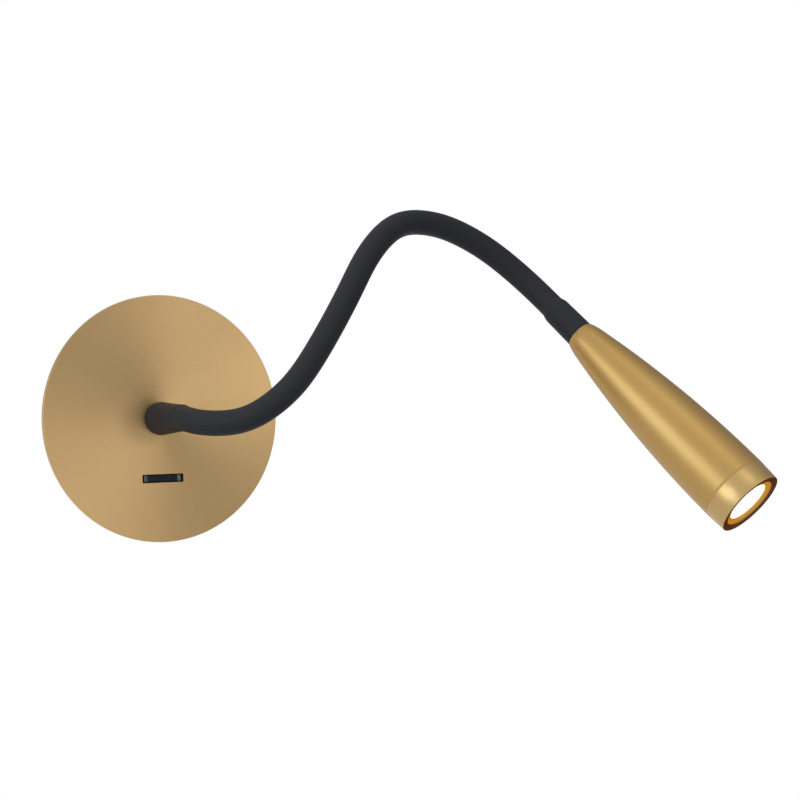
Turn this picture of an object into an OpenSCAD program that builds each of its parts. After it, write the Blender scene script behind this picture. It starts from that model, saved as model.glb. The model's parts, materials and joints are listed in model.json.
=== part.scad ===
// Wall reading light on a flexible arm.
// The wall is the plane y = 0, the room is on the -Y side and Z is up.
// Lengths are in millimetres and angles in degrees.

/* [Face plate] */
// Diameter of the round plate that shows on the wall
plate_d = 120; // [110:1:150]
// Thickness of the plate
plate_t = 2; // [1.5:0.1:3]
// Chamfer round the plate's front edge
plate_edge = 0.4; // [0.2:0.1:0.8]
// Distance of the two welded studs from the inside of the can's wall
stud_inset = 6.9; // [6:0.1:9]
// Height of the studs above the plate's centre
stud_z = 9; // [8:0.5:10]
// Diameter of a stud
stud_d = 3; // [2.5:0.1:3.5]
// Length of a stud behind the plate
stud_len = 8; // [7:0.5:10]

/* [Back can] */
// Outer diameter of the can behind the plate
can_d = 92; // [83:1:102]
// Depth of the can, from the wall to the plate
can_depth = 20; // [19:0.5:30]
// Wall and floor thickness of the can
can_wall = 2; // [1.5:0.1:2.5]

/* [Wall bracket] */
// Thickness of the bracket
bracket_t = 2; // [1.5:0.1:2.5]
// Distance between the two slots for the wall screws
slot_spacing = 60; // [54:1:64]
// Length of a slot
slot_len = 12; // [9:0.5:14]
// Width of a slot
slot_w = 4.5; // [4:0.1:5.5]
// Diameter of the hole for the grommet
cable_hole_d = 13; // [11:0.5:14]
// Sideways place of the cable hole
cable_hole_x = -24; // [-26:0.5:-22]
// Height of the cable hole
cable_hole_z = -16; // [-18:0.5:-15]
// Bore of the grommet, for the supply cable
grommet_bore_d = 8; // [6:0.5:9]
// Width of an ear that a side screw goes into
ear_w = 12; // [9:0.5:14]
// Thickness of an ear
ear_t = 2; // [1.5:0.1:2.5]
// Height of an ear
ear_h = 11; // [10:0.5:13]
// Distance of the side screws from the wall
side_screw_y = 7; // [6:0.5:8]
// Diameter of a side screw
side_screw_d = 3; // [2.5:0.1:4]
// Length of a side screw
side_screw_len = 8; // [7:0.5:9]

/* [Arm] */
// Outer diameter of the arm's rubber sleeve
arm_d = 12; // [11:0.5:14]
// Wall of the sleeve
sleeve_wall = 2; // [1.6:0.1:2.3]
// Diameter of the round cable inside the steel core
cable_d = 4; // [3:0.1:4.4]
// Distance from one arm joint to the next
link_pitch = 26; // [24:0.5:34]
// Running gap between the ball and the socket of an arm joint
ball_gap = 0.1; // [0.05:0.01:0.1]

/* [Collars] */
// Diameter of the base collar where it meets the plate
base_collar_d = 16.2; // [15:0.1:18]
// Diameter of the base collar before its step
base_collar_tip_d = 12.9; // [12.6:0.1:14.5]
// Length of the base collar
base_collar_len = 31; // [28:0.5:40]
// Diameter of the head collar where it meets the head
head_collar_d = 14.2; // [13.8:0.1:14.4]
// Diameter of the head collar after its step
head_collar_tip_d = 13.5; // [13:0.1:13.8]
// Length of the head collar, from the last arm joint to the head
head_collar_len = 28; // [26:0.5:34]

/* [Head] */
// Length of the head with its front ring
head_len = 120.5; // [110:0.5:140]
// Diameter of the head at its back end
head_back_d = 14.4; // [14.4:0.1:16]
// Diameter of the head at its widest place
head_max_d = 35.5; // [34.5:0.1:40]
// Distance from the back end to the widest place
head_max_at = 109; // [105:1:112]
// Radius of the long arc of the head's side
head_side_r = 605; // [600:5:700]
// Radius of the shoulder at the back end
head_shoulder_r = 32; // [24:1:45]
// How far the shoulder widens the back end, in radius, before the long arc takes over
head_shoulder_rise = 0.65; // [0.4:0.05:1]
// Wall of the head shell
head_wall = 1.6; // [1.2:0.1:1.8]
// Thickness of the shell's back wall
head_back_t = 3; // [2:0.5:4]
// Length of the front ring that shows
ring_len = 11; // [9:0.5:14]
// Diameter of the ring at the very front
ring_front_d = 34.6; // [33:0.1:35]
// Length of the ring's threaded spigot inside the shell
spigot_len = 8; // [6:0.5:10]
// Diameter of the opening in the front ring
mouth_d = 27.5; // [26:0.1:28.5]
// Depth of the lens behind the front face
lens_depth = 2; // [1.6:0.1:3]
// Diameter of the lens that shows inside the bezel
lens_show_d = 22; // [20:0.1:24]

/* [Light engine] */
// Thickness of the lens
lens_t = 3; // [2.5:0.1:4]
// Length of the reflector
reflector_len = 9.4; // [8:0.1:11]
// Wall of the reflector
reflector_wall = 1; // [0.8:0.1:1.4]
// Thickness of the light board
board_t = 1.6; // [1.2:0.1:2]
// Diameter of the light chip
chip_d = 9; // [8:0.5:11]
// Height of the light chip
chip_t = 0.8; // [0.6:0.1:1.2]
// Length of the heat sink
sink_len = 18; // [14:0.5:22]
// Number of slots round the heat sink
sink_slots = 12; // [8:1:16]
// Bore of the heat sink, for the leads
sink_bore_d = 6; // [5:0.5:8]

/* [Switch] */
// Width of the slot in the plate
rocker_slot_w = 21; // [20:0.5:23]
// Height of the slot in the plate
rocker_slot_h = 4; // [3.6:0.1:4.6]
// Height of the slot's centre below the plate's centre
rocker_drop = 29; // [28:0.5:31]
// Clearance all round the rocker
rocker_gap = 0.4; // [0.3:0.05:0.5]
// Tilt of the rocker to either side
rocker_tilt = 6; // [5:0.5:7]
// Thickness of the rocker bar
rocker_t = 2.6; // [2.2:0.1:3]
// Diameter of the rocker's pin
rocker_pin_d = 1.4; // [1.2:0.1:1.6]
// Wall of the switch case
switch_wall = 1.5; // [1.2:0.1:1.8]
// Depth of the switch case behind the plate
switch_depth = 10; // [9:0.5:11]

/* [Driver and wiring] */
// Width of the driver case
driver_w = 44; // [38:1:46]
// Height of the driver case
driver_h = 22; // [18:1:24]
// Thickness of the driver case
driver_t = 11; // [9:0.5:12]
// Width of the terminal block
terminal_w = 18; // [15:0.5:19]
// Height of the terminal block
terminal_h = 12; // [10:0.5:13]
// Thickness of the terminal block
terminal_t = 9; // [8:0.5:11]
// Thickness of a single lead
lead_d = 1.2; // [1:0.1:1.4]

/* [Hidden] */
$fn = 72;
slip = 0.05;
air = 0.4;
lip = 0.05;
bite = 0.3;

// The arm's direction at each joint: degrees to the right of straight out, and degrees above level
arm_swing = [0, 40, 62, 88, 102, 112, 112, 100, 89, 75, 33];
arm_rise = [-10, 0, 35, 54, 55, 54, 36, -3, -26, -40.5, -43.5];
link_count = len(arm_swing) - 1;

// Plate, can and bracket, measured out from the wall
plate_y = can_depth;
face_y = can_depth + plate_t;
floor_y = can_depth - can_wall;
can_inner_r = can_d / 2 - can_wall;
bracket_r = can_inner_r - air;
stud_nut_t = 2.4;
stud_nut_af = 1.83 * stud_d;
stud_x = sqrt(pow(can_inner_r - stud_inset, 2) - pow(stud_z, 2));
side_head_r = 0.83 * side_screw_d;
side_head_t = 0.7;
side_head_sunk = 0.2;
side_screw_tip = can_d / 2 - side_head_sunk - side_screw_len;
ear_face = sqrt(pow(bracket_r, 2) - pow(ear_w / 2, 2));

// Arm: rubber sleeve, steel core and cable
arm_r = arm_d / 2;
sleeve_bore_r = arm_r - sleeve_wall;
core_r = sleeve_bore_r - 2 * slip;
core_bore_r = cable_d / 2 + 4 * slip;
socket_r = arm_r + ball_gap;
socket_len = socket_r + air;
neck_len = 1.5;
arc_len = link_pitch - socket_len - neck_len;
core_start = socket_r + 2 * slip;
core_past = sqrt(pow(arm_r, 2) - pow(core_r, 2)) - 3 * slip;
cable_past = sqrt(pow(arm_r, 2) - pow(cable_d / 2, 2)) - slip;

// Base fitting
thread_r = 5;
flange_r = thread_r + 2;
flange_t = 2;
barrel_r = core_r + 1.2;
base_step_len = 3;
base_root_edge = 0.4;
barrel_short = 4;
base_barrel_end = face_y + base_collar_len - base_step_len - barrel_short;
joint_1_y = face_y + base_collar_len + neck_len;
washer_t = 1;
washer_r = thread_r + 3.5;
nut_t = 4;
nut_af = 14;
tail_y = floor_y - washer_t - nut_t - 2;

// Head profile
shell_len = head_len - ring_len;
back_r = head_back_d / 2;
back_point = [0, back_r];
shoulder_point = [0, back_r + head_shoulder_rise];
widest_point = [head_max_at, head_max_d / 2];
side_centre = circle_meet(widest_point, head_side_r, shoulder_point, head_side_r);
shoulder_centre = circle_meet(back_point, head_shoulder_r, side_centre, head_side_r - head_shoulder_r);
seam_r = side_centre.y + sqrt(pow(head_side_r, 2) - pow(shell_len - side_centre.x, 2));
spigot_r = seam_r - head_wall - slip;
seat_from = shell_len - spigot_len - 2;
mouth_r = mouth_d / 2;
seam_chamfer = 0.25;

// Light engine, measured from the back of the head
lens_front = head_len - lens_depth;
lens_back = lens_front - lens_t;
engine_r = mouth_r - slip;
board_front = lens_back - reflector_len;
board_back = board_front - board_t;
sink_back = board_back - sink_len;
ferrule_r = 4;
head_nut_t = 4;
head_nut_af = 11;
lead_spread = 6;
lead_split = head_back_t + head_nut_t + lead_spread;

// Switch
rocker_w = rocker_slot_w - 2 * rocker_gap - 0.4;
rocker_h = rocker_slot_h - 2 * rocker_gap;
rocker_back = face_y - air - rocker_w / 2 * tan(rocker_tilt) - rocker_t;
pin_y = rocker_back + rocker_pin_d / 2 + 0.2;
hub_r = rocker_pin_d / 2 + 0.7;
end_t = 0.9;
rib_w = 0.9;
rib_foot_w = 1.3;
rib_foot = 0.2;
hollow = 0.5;
case_w = rocker_slot_w + 2 * switch_wall;
case_h = rocker_slot_h + 2 * switch_wall;
case_back = plate_y - switch_depth;
cavity_back = case_back + 1.5;
blade_w = 3;
blade_t = 0.8;
blade_inset = 4;
blade_x = rocker_slot_w / 2 - blade_inset;
blade_out = 4;

// Driver, half way between the lock nut and the upper side screw, and terminal block
driver_z = (nut_af / 2 / cos(30) + side_screw_tip - driver_h) / 2;
driver_back = floor_y - driver_t;
terminal_x = 15;
terminal_top = -9;
pole_pitch = terminal_w / 2;
pole_r = 2.2;
lead_r = lead_d / 2;
lead_y = driver_back + 2;

sleeve_names = [for (k = [1:link_count]) str("sleeve_", k)];
core_names = [for (k = [1:link_count]) str("core_", k)];
cable_names = [for (k = [1:link_count]) str("cable_", k)];

gold = [0.72, 0.57, 0.36];
pale_gold = [0.78, 0.64, 0.43];
rubber = [0.16, 0.17, 0.18];
steel = [0.62, 0.63, 0.65];
black = [0.08, 0.08, 0.10];

// Point where two circles meet, to the left of the way from the first centre to the second
function circle_meet(p, rp, q, rq) =
    let(d = norm(q - p), along = (d * d + rp * rp - rq * rq) / (2 * d))
    let(across = sqrt(rp * rp - along * along), u = (q - p) / d)
    p + along * u + across * [-u.y, u.x];

function unit(v) = v / norm(v);

// Direction of the arm at joint k, counted from 0
function heading(k) = [
    sin(arm_swing[k]) * cos(arm_rise[k]),
    -cos(arm_swing[k]) * cos(arm_rise[k]),
    sin(arm_rise[k])
];

function bend(k) = acos(heading(k) * heading(k + 1));
function bend_r(k) = arc_len / (bend(k) * PI / 180);

// Where joint k lies: each link is straight, then an arc, then straight again
function joint_at(k) = k == 0
    ? [0, -joint_1_y, 0]
    : joint_at(k - 1) + socket_len * heading(k - 1) + neck_len * heading(k)
        + bend_r(k - 1) * tan(bend(k - 1) / 2) * (heading(k - 1) + heading(k));

function frame_of(x, z, at) = let(y = cross(z, x)) [
    [x.x, y.x, z.x, at.x],
    [x.y, y.y, z.y, at.y],
    [x.z, y.z, z.z, at.z],
    [0, 0, 0, 1]
];

// Local x is to the right, y is up and z comes out of the wall
module on_wall(out = 0) {
    rotate([90, 0, 0])
        translate([0, 0, out])
            children();
}

// Local z is the arm's direction at the start of link k, and the link bends towards x
module on_link(k) {
    toward = unit(heading(k) - cos(bend(k - 1)) * heading(k - 1));
    multmatrix(frame_of(toward, heading(k - 1), joint_at(k - 1)))
        children();
}

// Local z is the head's axis, from the last arm joint to the light
module on_head(along = 0) {
    axis = heading(link_count);
    multmatrix(frame_of(unit(cross([0, 0, 1], axis)), axis, joint_at(link_count)))
        translate([0, 0, along])
            children();
}

module tube(r_out, r_in, h) {
    rotate_extrude()
        translate([r_in, 0])
            square([r_out - r_in, h]);
}

module round_rect(w, h, r) {
    square([w - 2 * r, h], center = true);
    square([w, h - 2 * r], center = true);
    for (x = [-1, 1], y = [-1, 1])
        translate([x * (w / 2 - r), y * (h / 2 - r)])
            circle(r = r);
}

module hex(af, h) {
    cylinder(h = h, d = af / cos(30), $fn = 6);
}

// The bent middle of a link, turned round the bend's centre: it reaches a little way into both ends
module arc_section(k, r_out, r_in, into_start = 0) {
    degrees_per_mm = 180 / (bend_r(k) * PI);
    turn = bend(k) + (into_start + bite) * degrees_per_mm;
    translate([bend_r(k), 0, socket_len])
        rotate([90, 0, 0])
            rotate([0, 0, 180 + into_start * degrees_per_mm - turn])
                rotate_extrude(angle = turn, $fn = 96)
                    translate([bend_r(k), 0])
                        ring(r_out - lip, r_in > 0 ? r_in + lip : 0);
}

module ring(r_out, r_in) {
    difference() {
        circle(r = r_out);
        if (r_in > 0)
            circle(r = r_in);
    }
}

// The far end of a link, with z going on along the arm from the end of the arc
module at_link_end(k) {
    translate([bend_r(k), 0, socket_len])
        rotate([0, bend(k), 0])
            translate([-bend_r(k), 0, 0])
                children();
}

// A tube or rod inside link k, from its socket to inside its ball
module link_filling(k, r_out, r_in, past) {
    arc_section(k - 1, r_out, r_in);
    at_link_end(k - 1)
        tube(r_out, r_in, neck_len + past);
}

// Rubber socket whose hollow end turns on the ball before it
module socket_end(h) {
    rotate_extrude()
        difference() {
            translate([sleeve_bore_r, 0])
                square([sleeve_wall, h]);
            circle(r = socket_r);
        }
}

// Rounded end that the next socket turns on
module ball_end() {
    rotate_extrude()
        intersection() {
            circle(r = arm_r);
            translate([sleeve_bore_r, 0])
                square([sleeve_wall, arm_r]);
        }
}

module sleeve(k) {
    color(rubber)
        on_link(k) {
            socket_end(socket_len);
            arc_section(k - 1, arm_r, sleeve_bore_r, bite);
            at_link_end(k - 1) {
                tube(arm_r, sleeve_bore_r, neck_len);
                translate([0, 0, neck_len])
                    ball_end();
            }
        }
}

module core(k) {
    color(steel)
        on_link(k)
            link_filling(k, core_r, core_bore_r, core_past);
}

module cable(k) {
    color(black)
        on_link(k)
            link_filling(k, cable_d / 2, 0, cable_past);
}

module wall_bracket() {
    color("silver")
        on_wall()
            difference() {
                union() {
                    cylinder(h = bracket_t, r = bracket_r, $fn = 128);
                    for (side = [-1, 1])
                        translate([-ear_w / 2, side > 0 ? ear_face - ear_t : -ear_face, 0])
                            cube([ear_w, ear_t, ear_h]);
                }
                for (side = [-1, 1])
                    translate([side * slot_spacing / 2, 0, -1])
                        linear_extrude(bracket_t + 2)
                            wall_slot();
                translate([cable_hole_x, cable_hole_z, -1])
                    cylinder(h = bracket_t + 2, d = cable_hole_d);
                for (side = [-1, 1])
                    translate([0, side * ear_face, side_screw_y])
                        rotate([90, 0, 0])
                            cylinder(h = 3 * ear_t, d = side_screw_d + 2 * slip, center = true);
            }
}

module wall_slot() {
    square([slot_len - slot_w, slot_w], center = true);
    for (side = [-1, 1])
        translate([side * (slot_len - slot_w) / 2, 0])
            circle(d = slot_w);
}

module cable_grommet() {
    color(black)
        on_wall()
            translate([cable_hole_x, cable_hole_z, 0]) {
                tube(cable_hole_d / 2 - slip, grommet_bore_d / 2, bracket_t);
                translate([0, 0, bracket_t])
                    tube(cable_hole_d / 2 + 1.5, grommet_bore_d / 2, 1.5);
            }
}

module back_can() {
    color(black)
        on_wall()
            difference() {
                union() {
                    tube(can_d / 2, can_inner_r, can_depth, $fn = 128);
                    translate([0, 0, floor_y])
                        cylinder(h = can_wall, r = can_inner_r, $fn = 128);
                }
                translate([0, 0, floor_y - 1])
                    cylinder(h = can_wall + 2, r = thread_r + slip);
                translate([-case_w / 2 - slip, -rocker_drop - case_h / 2 - slip, floor_y - 1])
                    cube([case_w + 2 * slip, case_h + 2 * slip, can_wall + 2]);
                for (side = [-1, 1])
                    translate([side * stud_x, stud_z, floor_y - 1])
                        cylinder(h = can_wall + 2, d = stud_d + 0.4);
                for (side = [-1, 1])
                    translate([0, side * can_d / 2, side_screw_y])
                        rotate([side * 90, 0, 0])
                            side_screw_hole();
            }
}

// Countersunk hole, with z going into the can: its cone stays a slip wider than the screw's head
module side_screw_hole() {
    above = 1;
    r_deep = side_head_r - side_head_t + 2 * slip;
    cylinder(h = 3 * can_wall, d = side_screw_d + 2 * slip);
    translate([0, 0, -above])
        cylinder(
            h = above + side_head_sunk + side_head_t,
            r1 = r_deep + above + side_head_sunk + side_head_t,
            r2 = r_deep
        );
}

module side_screws() {
    color("silver")
        on_wall()
            for (side = [-1, 1])
                translate([0, side * (can_d / 2 - side_head_sunk), side_screw_y])
                    rotate([side * 90, 0, 0])
                        difference() {
                            union() {
                                cylinder(h = side_screw_len, d = side_screw_d);
                                cylinder(h = side_head_t, r1 = side_head_r, r2 = side_head_r - side_head_t);
                            }
                            translate([-side_screw_d / 2, -0.3, -1])
                                cube([side_screw_d, 0.6, 1.6]);
                        }
}

module face_plate() {
    color(gold)
        on_wall() {
            difference() {
                translate([0, 0, plate_y])
                    rotate_extrude($fn = 180)
                        polygon([
                            [thread_r + slip, 0],
                            [plate_d / 2 - plate_edge / 2, 0],
                            [plate_d / 2, plate_edge / 2],
                            [plate_d / 2, plate_t - plate_edge],
                            [plate_d / 2 - plate_edge, plate_t],
                            [thread_r + slip, plate_t]
                        ]);
                translate([-rocker_slot_w / 2, -rocker_drop - rocker_slot_h / 2, plate_y - 1])
                    cube([rocker_slot_w, rocker_slot_h, plate_t + 2]);
            }
            for (side = [-1, 1])
                translate([side * stud_x, stud_z, plate_y - stud_len])
                    cylinder(h = stud_len, d = stud_d);
        }
}

module stud_nuts() {
    color("silver")
        on_wall()
            for (side = [-1, 1])
                translate([side * stud_x, stud_z, floor_y - stud_nut_t])
                    difference() {
                        hex(stud_nut_af, stud_nut_t);
                        translate([0, 0, -1])
                            cylinder(h = stud_nut_t + 2, d = stud_d + 2 * slip);
                    }
}

// Threaded tail, flange on the plate, crimp barrel and the first turns of the steel core
module base_ferrule() {
    color(steel)
        on_wall() {
            translate([0, 0, tail_y])
                tube(thread_r, core_bore_r, face_y - tail_y);
            translate([0, 0, face_y])
                tube(flange_r, core_bore_r, flange_t);
            translate([0, 0, face_y + flange_t])
                tube(barrel_r, core_bore_r, base_barrel_end - face_y - flange_t);
            translate([0, 0, base_barrel_end])
                tube(core_r, core_bore_r, joint_1_y - base_barrel_end + core_past);
        }
}

module lock_washer() {
    color("silver")
        on_wall(floor_y - washer_t)
            tube(washer_r, thread_r + slip, washer_t);
}

module lock_nut() {
    color("silver")
        on_wall(floor_y - washer_t - nut_t)
            difference() {
                hex(nut_af, nut_t);
                translate([0, 0, -1])
                    cylinder(h = nut_t + 2, r = thread_r + slip);
            }
}

// Moulded rubber boot over the base fitting, which ends in the first ball
module base_collar() {
    tip = base_collar_len - base_step_len;
    color(rubber)
        on_wall() {
            translate([0, 0, face_y])
                rotate_extrude()
                    difference() {
                        polygon([
                            [0, 0],
                            [base_collar_d / 2 - base_root_edge, 0],
                            [base_collar_d / 2, base_root_edge],
                            [base_collar_tip_d / 2, tip],
                            [arm_r, base_collar_len],
                            [arm_r, joint_1_y - face_y],
                            [0, joint_1_y - face_y]
                        ]);
                        translate([-1, -1])
                            square([sleeve_bore_r + 1, joint_1_y]);
                        translate([-1, -1])
                            square([barrel_r + slip + 1, base_barrel_end - face_y + 1]);
                        translate([-1, -1])
                            square([flange_r + slip + 1, flange_t + slip + 1]);
                    }
            translate([0, 0, joint_1_y])
                ball_end();
        }
}

// Cable in the base fitting and the single leads between the parts in the can
module base_leads() {
    color("firebrick")
        on_wall() {
            translate([0, 0, tail_y])
                cylinder(h = joint_1_y + cable_past - tail_y, d = cable_d);
            for (side = [-1, 1])
                translate([side * 1, 0, tail_y])
                    rotate([180, 0, 0])
                        lead_elbow(tail_y - lead_y - 2, driver_z - 2);
            for (x = [terminal_x + 0.3 * pole_pitch, terminal_x + 0.7 * pole_pitch])
                translate([x, terminal_top, lead_y])
                    rotate([-90, 0, 0])
                        cylinder(h = driver_z - terminal_top, d = lead_d);
            translate([-blade_x, -rocker_drop + blade_t / 2, case_back - blade_out / 2])
                rotate([-90, 0, 0])
                    cylinder(h = rocker_drop + driver_z - blade_t / 2, d = lead_d);
            translate([blade_x, -rocker_drop + blade_t / 2, case_back - blade_out / 2])
                rotate([-90, 0, 0])
                    rotate([0, 0, 90])
                        lead_elbow(rocker_drop + terminal_top - terminal_h / 2 - blade_t / 2 - 2, terminal_x - blade_x - 2);
        }
}

// A lead that runs along z, turns a quarter circle towards -y and runs on
module lead_elbow(first, second) {
    turn_r = 2;
    cylinder(h = first, d = lead_d);
    translate([0, -turn_r, first])
        rotate([90, 0, 90])
            rotate_extrude(angle = 90)
                translate([turn_r, 0])
                    circle(d = lead_d);
    translate([0, -turn_r, first + turn_r])
        rotate([90, 0, 0])
            cylinder(h = second, d = lead_d);
}

module switch_case() {
    color(black)
        on_wall()
            translate([0, -rocker_drop, 0])
                difference() {
                    union() {
                        translate([-case_w / 2, -case_h / 2, case_back])
                            cube([case_w, case_h, switch_depth]);
                        translate([-case_w / 2 - 1.5, -case_h / 2 - 1, floor_y - 1.2])
                            cube([case_w + 3, case_h + 2, 1.2]);
                    }
                    translate([-rocker_slot_w / 2, -rocker_slot_h / 2, cavity_back])
                        cube([rocker_slot_w, rocker_slot_h, switch_depth]);
                    translate([0, 0, pin_y])
                        rotate([90, 0, 0])
                            cylinder(h = case_h + 4, d = rocker_pin_d, center = true);
                    for (side = [-1, 1])
                        translate([side * blade_x - blade_w / 2, -blade_t / 2, case_back - 1])
                            cube([blade_w, blade_t, cavity_back - case_back + 2]);
                }
}

module switch_contacts() {
    color("goldenrod")
        on_wall()
            for (side = [-1, 1])
                translate([side * blade_x, -rocker_drop, case_back - blade_out]) {
                    translate([-blade_w / 2, -blade_t / 2, 0])
                        cube([blade_w, blade_t, blade_out + cavity_back - case_back + 0.5]);
                    translate([0, 0, blade_out + cavity_back - case_back + 0.5])
                        cylinder(h = 0.6, d = 1.8);
                }
}

module switch_pin() {
    color("silver")
        on_wall()
            translate([0, -rocker_drop, pin_y])
                rotate([90, 0, 0])
                    cylinder(h = case_h, d = rocker_pin_d, center = true);
}

// Drawn level and then tilted: the left end stands out and the right end is pushed in
module rocker() {
    half = rocker_w / 2;
    rib_h = 0.2 * half * tan(rocker_tilt);
    top = rocker_back + rocker_t;
    color([0.10, 0.10, 0.15])
        on_wall()
            translate([0, -rocker_drop, pin_y])
                rotate([0, rocker_tilt, 0])
                    rotate([90, 0, 0])
                        linear_extrude(rocker_h, center = true)
                            difference() {
                                union() {
                                    translate([0, -pin_y])
                                        polygon([
                                            [-half, top + rib_h],
                                            [-half, rocker_back + end_t],
                                            [-hub_r, rocker_back],
                                            [hub_r, rocker_back],
                                            [half, rocker_back + end_t],
                                            [half, top + rib_h],
                                            [half - rib_w, top + rib_h],
                                            [half - rib_foot_w, top - rib_foot],
                                            [0, top - hollow],
                                            [-half + rib_foot_w, top - rib_foot],
                                            [-half + rib_w, top + rib_h]
                                        ]);
                                    circle(r = hub_r);
                                }
                                circle(d = rocker_pin_d + 2 * slip);
                            }
}

module driver_case() {
    color("white")
        on_wall()
            translate([0, driver_z + driver_h / 2, driver_back]) {
                linear_extrude(driver_t - 1.5)
                    round_rect(driver_w, driver_h, 2);
                translate([0, 0, driver_t - 1.5])
                    linear_extrude(1.5)
                        round_rect(driver_w - 1, driver_h - 1, 1.5);
            }
}

module terminal_block() {
    color("ivory")
        on_wall()
            translate([terminal_x, terminal_top - terminal_h, bracket_t])
                difference() {
                    union() {
                        cube([terminal_w, terminal_h, terminal_t - 3]);
                        for (pole = [0, 1])
                            translate([(pole + 0.5) * pole_pitch, terminal_h / 2, 0])
                                cylinder(h = terminal_t, r = pole_r + 1);
                    }
                    for (pole = [0, 1])
                        translate([(pole + 0.5) * pole_pitch, terminal_h / 2, terminal_t - 4])
                            cylinder(h = 5, r = pole_r);
                }
}

module terminal_screws() {
    color("goldenrod")
        on_wall()
            for (pole = [0, 1])
                translate([
                    terminal_x + (pole + 0.5) * pole_pitch,
                    terminal_top - terminal_h / 2,
                    bracket_t + terminal_t - 4
                ])
                    difference() {
                        cylinder(h = 3, r = pole_r - slip);
                        translate([-pole_r, -0.4, 2.2])
                            cube([2 * pole_r, 0.8, 1]);
                    }
}

// Moulded rubber collar on the head's end of the arm, which starts with the last socket
module head_collar() {
    step_from = socket_len + 1;
    barrel_from = step_from + 4;
    color(rubber)
        on_head() {
            socket_end(socket_len);
            translate([0, 0, socket_len])
                rotate_extrude()
                    difference() {
                        polygon([
                            [0, 0],
                            [arm_r, 0],
                            [arm_r, step_from - socket_len],
                            [head_collar_tip_d / 2, step_from + 3 - socket_len],
                            [head_collar_d / 2, head_collar_len - socket_len],
                            [0, head_collar_len - socket_len]
                        ]);
                        translate([-1, -1])
                            square([sleeve_bore_r + 1, head_collar_len]);
                        translate([-1, barrel_from - socket_len])
                            square([barrel_r + slip + 1, head_collar_len]);
                    }
        }
}

// Last turns of the steel core, crimp barrel and the threaded end that holds the head
module head_ferrule() {
    barrel_from = socket_len + 1 + 4 + slip;
    color(steel)
        on_head() {
            translate([0, 0, core_start])
                tube(core_r, core_bore_r, barrel_from - core_start);
            translate([0, 0, barrel_from])
                tube(barrel_r, core_bore_r, head_collar_len - barrel_from);
            translate([0, 0, head_collar_len])
                tube(ferrule_r, core_bore_r, head_back_t + head_nut_t + 2);
        }
}

module head_nut() {
    color("silver")
        on_head(head_collar_len + head_back_t)
            difference() {
                hex(head_nut_af, head_nut_t);
                translate([0, 0, -1])
                    cylinder(h = head_nut_t + 2, r = ferrule_r + slip);
            }
}

// Area under the head's side, inset by a wall, with x along the axis
module head_outline(inset) {
    intersection() {
        translate([0, 0])
            square([head_len, head_max_d]);
        translate(side_centre)
            circle(r = head_side_r - inset, $fn = 720);
        union() {
            translate(shoulder_centre)
                circle(r = head_shoulder_r - inset, $fn = 360);
            translate([shoulder_centre.x, -1])
                square([head_len, head_max_d]);
            translate([tangent_x(), -1])
                square([head_len, head_max_d]);
        }
    }
}

// Where the shoulder's arc runs into the long side arc
function tangent_x() =
    let(u = unit(shoulder_centre - side_centre))
    side_centre.x + head_side_r * u.x;

module head_shell() {
    color(gold)
        on_head(head_collar_len)
            rotate_extrude($fn = 128)
                rotate([0, 0, 90])
                    mirror([0, 1])
                        difference() {
                            intersection() {
                                head_outline(0);
                                square([shell_len, head_max_d]);
                            }
                            intersection() {
                                head_outline(head_wall);
                                translate([head_back_t, -1])
                                    square([head_len, head_max_d]);
                            }
                            translate([seat_from, -1])
                                square([head_len, seam_r - head_wall + 1]);
                            translate([-1, -1])
                                square([head_back_t + 2, ferrule_r + slip + 1]);
                            translate([shell_len, seam_r])
                                rotate([0, 0, 45])
                                    square(seam_chamfer * sqrt(2), center = true);
                        }
}

module front_ring() {
    lip = 0.5;
    color(pale_gold)
        on_head(head_collar_len + shell_len)
            rotate_extrude($fn = 128)
                polygon([
                    [mouth_r, -spigot_len],
                    [spigot_r, -spigot_len],
                    [spigot_r, 0],
                    [seam_r - seam_chamfer, 0],
                    [seam_r, seam_chamfer],
                    [ring_front_d / 2, ring_len - lip],
                    [ring_front_d / 2 - lip, ring_len],
                    [mouth_r, ring_len]
                ]);
}

// Screwed into the mouth, with a bright cone down to the lens
module bezel_ring() {
    color(pale_gold)
        on_head(head_collar_len + lens_front)
            rotate_extrude($fn = 96)
                polygon([
                    [lens_show_d / 2, 0],
                    [engine_r, 0],
                    [engine_r, lens_depth - 0.2],
                    [engine_r - 0.6, lens_depth - 0.2],
                    [lens_show_d / 2, 0.3]
                ]);
}

module lens() {
    color([1, 0.98, 0.92])
        on_head(head_collar_len + lens_back)
            cylinder(h = lens_t, r = engine_r, $fn = 96);
}

module reflector() {
    throat_r = chip_d / 2 + 0.6;
    color("white")
        on_head(head_collar_len + board_front)
            rotate_extrude($fn = 96)
                polygon([
                    [throat_r, 0],
                    [throat_r + reflector_wall, 0],
                    [engine_r, reflector_len - reflector_wall],
                    [engine_r, reflector_len],
                    [engine_r - reflector_wall, reflector_len]
                ]);
}

module light_chip() {
    color("khaki")
        on_head(head_collar_len + board_front)
            cylinder(h = chip_t, d = chip_d);
}

module light_board() {
    color("darkgreen")
        on_head(head_collar_len + board_back)
            cylinder(h = board_t, r = engine_r);
}

module heat_sink() {
    slot_depth = 4;
    slot_gap = 1.6;
    color("silver")
        on_head(head_collar_len + sink_back)
            difference() {
                cylinder(h = sink_len, r = engine_r, $fn = 96);
                translate([0, 0, -1])
                    cylinder(h = sink_len + 2, d = sink_bore_d);
                for (i = [0:sink_slots - 1])
                    rotate([0, 0, i * 360 / sink_slots])
                        translate([engine_r - slot_depth, -slot_gap / 2, -1])
                            cube([slot_depth + 1, slot_gap, sink_len - 3]);
            }
}

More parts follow.
